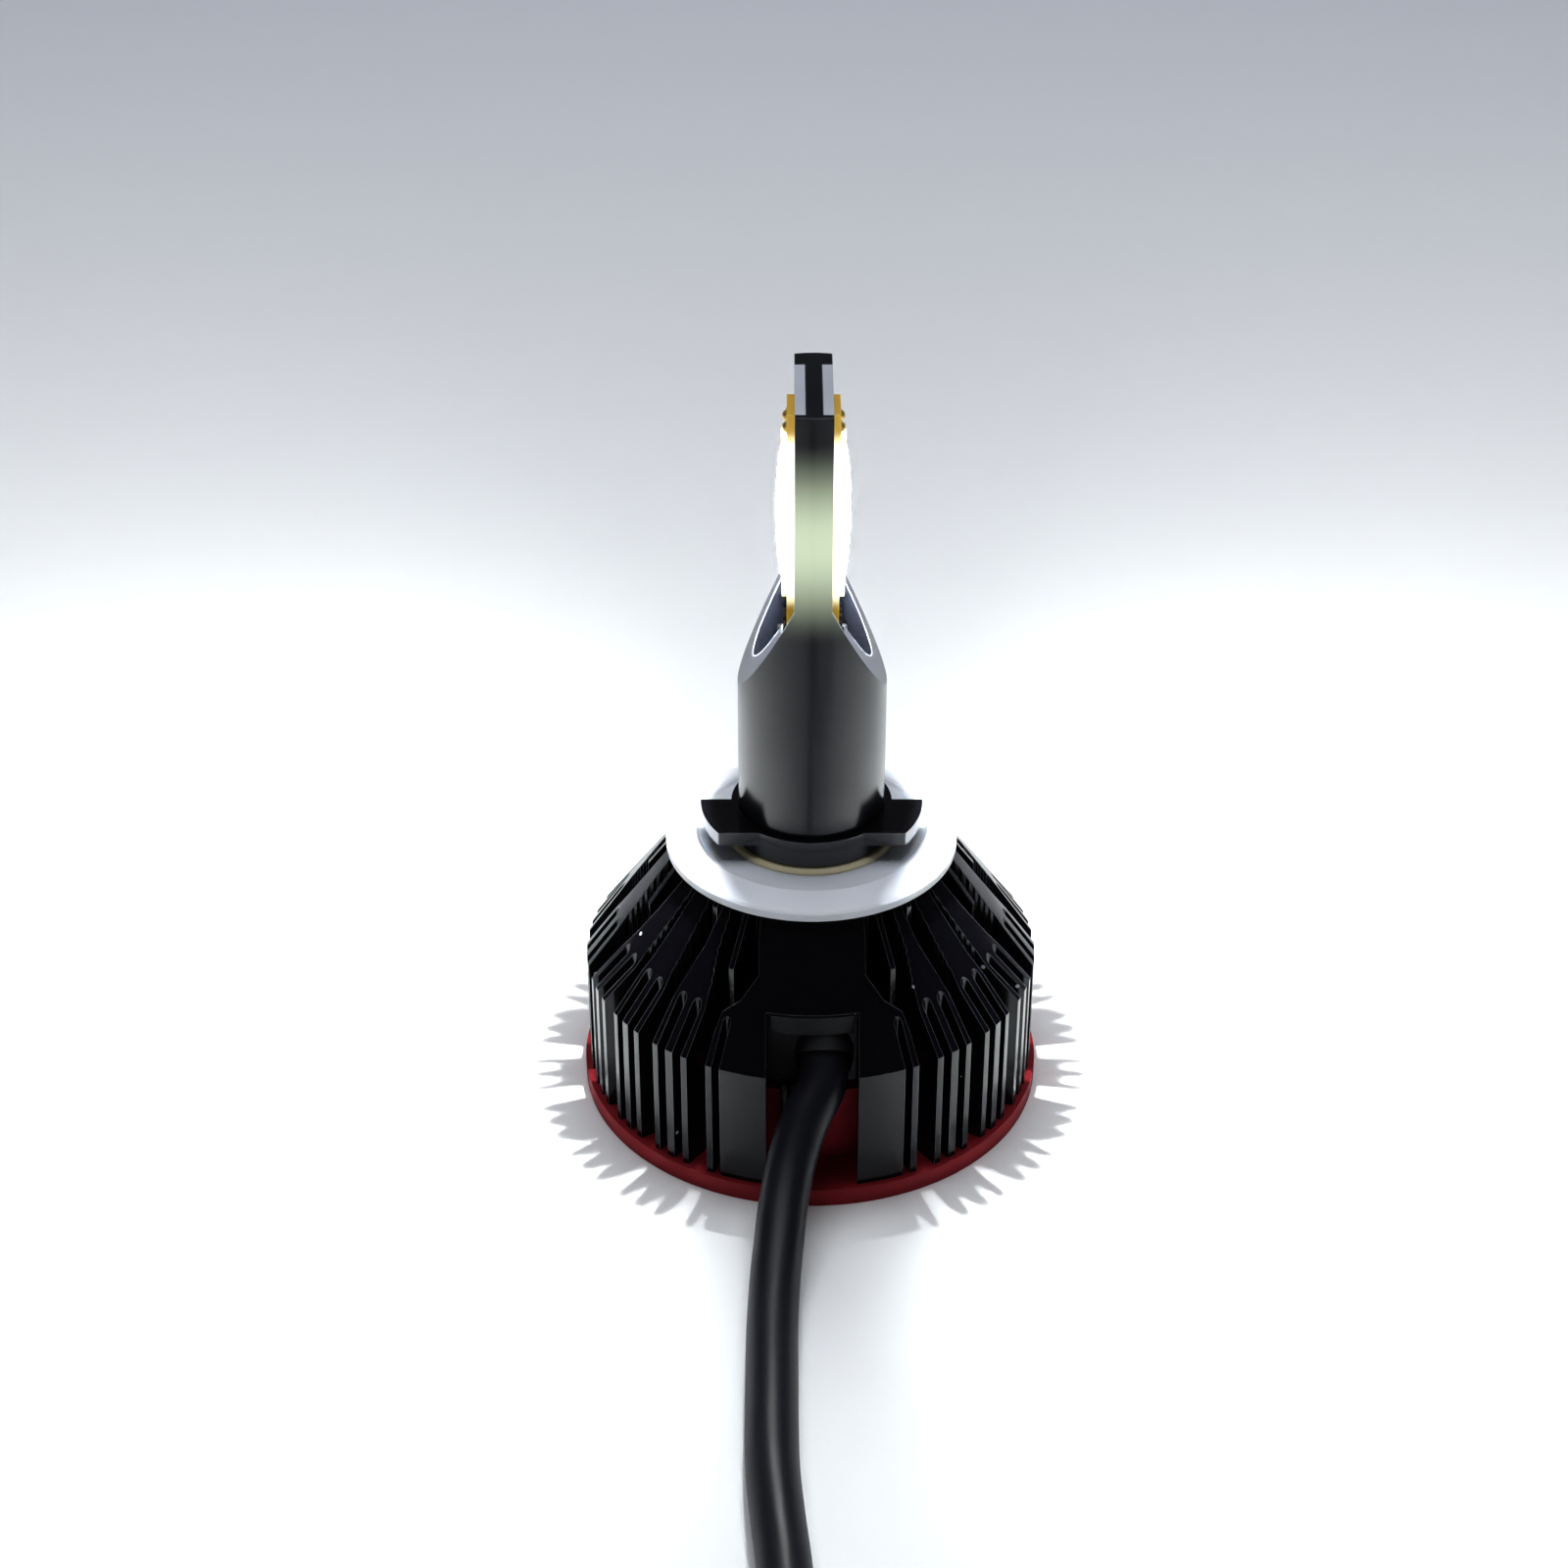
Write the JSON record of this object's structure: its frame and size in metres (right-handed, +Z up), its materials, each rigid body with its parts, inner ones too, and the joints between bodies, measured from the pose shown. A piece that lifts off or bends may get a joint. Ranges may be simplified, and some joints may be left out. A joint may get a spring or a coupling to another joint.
{
  "type": "headlight bulb",
  "caption": "LED headlight bulb: flat stem with lamp boards on two faces, lugged collar, milky seal, forked-fin heat sink, red fan foot and a lead with a two-way plug.",
  "frame": {"origin": "centre of the red foot's underside, on the stem's axis", "axes": "+Z up the stem to its tip; the lead leaves towards -Y; the lamp boards face +X and -X"},
  "size_m": [0.0697, 0.1665, 0.0708],
  "materials": {
    "stem_black": "black anodised aluminium, fine bead-blasted grain, semi-gloss",
    "bare_plate": "bare milled aluminium",
    "led_board": "copper-core lamp board with gilt edges and a pale mask",
    "led_strip": "lit white emitter strip under a clear phosphor dome",
    "black_wire": "black silicone wire insulation",
    "collar_black": "black glass-filled plastic, satin",
    "milky_silicone": "translucent milky silicone",
    "cream_silicone": "cream silicone",
    "sink_black": "glossy black anodised extrusion, turned cone, sharp bright fin edges",
    "frame_red": "brick-red moulded plastic, fine matte texture",
    "zinc_screw": "zinc-plated steel",
    "clamp_black": "black nylon",
    "grommet_black": "soft black rubber",
    "red_wire": "red silicone wire insulation",
    "green_board": "green glass-epoxy circuit board",
    "copper_winding": "enamelled copper winding",
    "capacitor_sleeve": "dark blue plastic sleeve with an aluminium top",
    "chip_black": "black epoxy",
    "sleeve_bronze": "oiled sintered bronze",
    "motor_steel": "laminated electrical steel",
    "fan_black": "black moulded fan plastic",
    "magnet_dark": "bonded ferrite",
    "shaft_steel": "ground steel",
    "clip_nylon": "natural nylon",
    "lead_black": "smooth black PVC with a faint dull stripe",
    "plug_black": "black nylon connector moulding",
    "terminal_tin": "tin-plated brass",
    "orange_silicone": "orange silicone"
  },
  "bodies": {
    "bulb": {"stem": "stem_black", "carrier_plate_left": "bare_plate", "carrier_plate_right": "bare_plate", "led_board_left": "led_board", "led_board_right": "led_board", "led_strip_left": "led_strip", "led_strip_right": "led_strip", "lamp_wires": "black_wire", "seal_ring": "milky_silicone", "neck_seal": "cream_silicone", "heat_sink": "sink_black", "fan_frame": "frame_red", "frame_screws": "zinc_screw", "cable_clamp": "clamp_black", "cable_grommet": "grommet_black", "supply_wires": "red_wire", "driver_board": "green_board", "driver_coil": "copper_winding", "driver_capacitors": "capacitor_sleeve", "driver_chips": "chip_black", "bearing_sleeve": "sleeve_bronze", "fan_board": "green_board", "stator_core": "motor_steel", "stator_coils": "copper_winding", "fan_wires": "black_wire", "cable": "lead_black", "cable_coil": "lead_black", "cable_tail": "lead_black", "plug_housing": "plug_black", "plug_boot": "grommet_black", "plug_terminals": "terminal_tin", "plug_seal": "orange_silicone"},
    "rotor": {"fan_rotor": "fan_black", "rotor_yoke": "motor_steel", "rotor_magnet": "magnet_dark", "fan_shaft": "shaft_steel", "shaft_clip": "clip_nylon"},
    "collar": {"lock_collar": "collar_black"}
  },
  "joints": [
    {"name": "fan_spin", "type": "hinge", "parent": "bulb", "child": "rotor", "pos_m": [0, 0, 0.005], "axis": [0, 0, 1], "continuous": true},
    {"name": "collar_turn", "type": "hinge", "parent": "bulb", "child": "collar", "pos_m": [0, 0, 0.0285], "axis": [0, 0, 1], "continuous": true}
  ]
}
